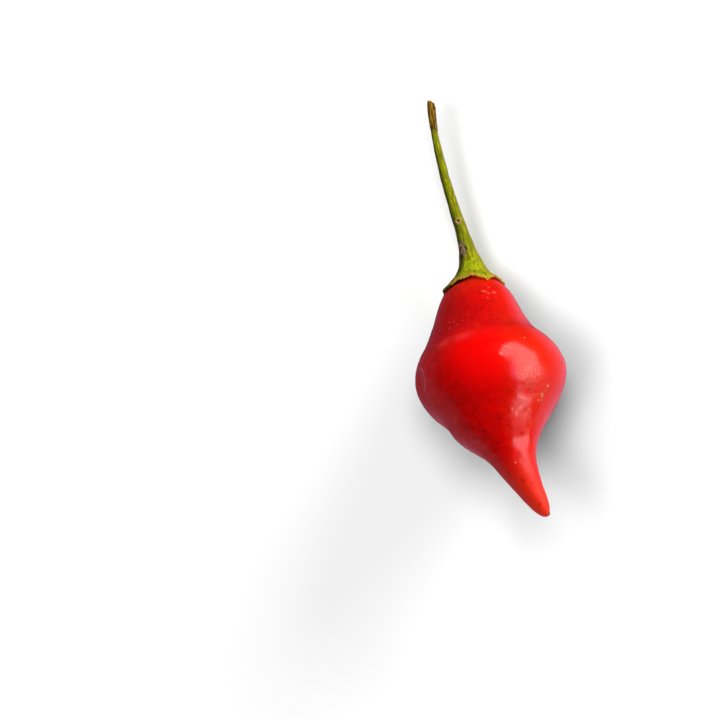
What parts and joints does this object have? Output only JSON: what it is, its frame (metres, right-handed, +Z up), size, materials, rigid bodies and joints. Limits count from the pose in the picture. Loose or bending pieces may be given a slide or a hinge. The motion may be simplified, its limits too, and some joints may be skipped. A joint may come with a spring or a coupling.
{
  "type": "biquinho pepper",
  "caption": "Small ripe red teardrop pepper with a bent pointed beak, a green calyx cap and a long thin curved stalk, lying on its side.",
  "frame": {"origin": "centre of the small flat spot under the belly, on which the pepper rests", "axes": "+Z up, +Y along the fruit from its beak towards its stalk, +X to the right seen from above with the stalk ahead"},
  "size_m": [0.0151, 0.0428, 0.0143],
  "materials": {
    "ripe_red_skin": "gloss",
    "green_stalk": "satin"
  },
  "bodies": {
    "root": {"fruit": "ripe_red_skin", "calyx_and_stalk": "green_stalk"}
  },
  "joints": []
}
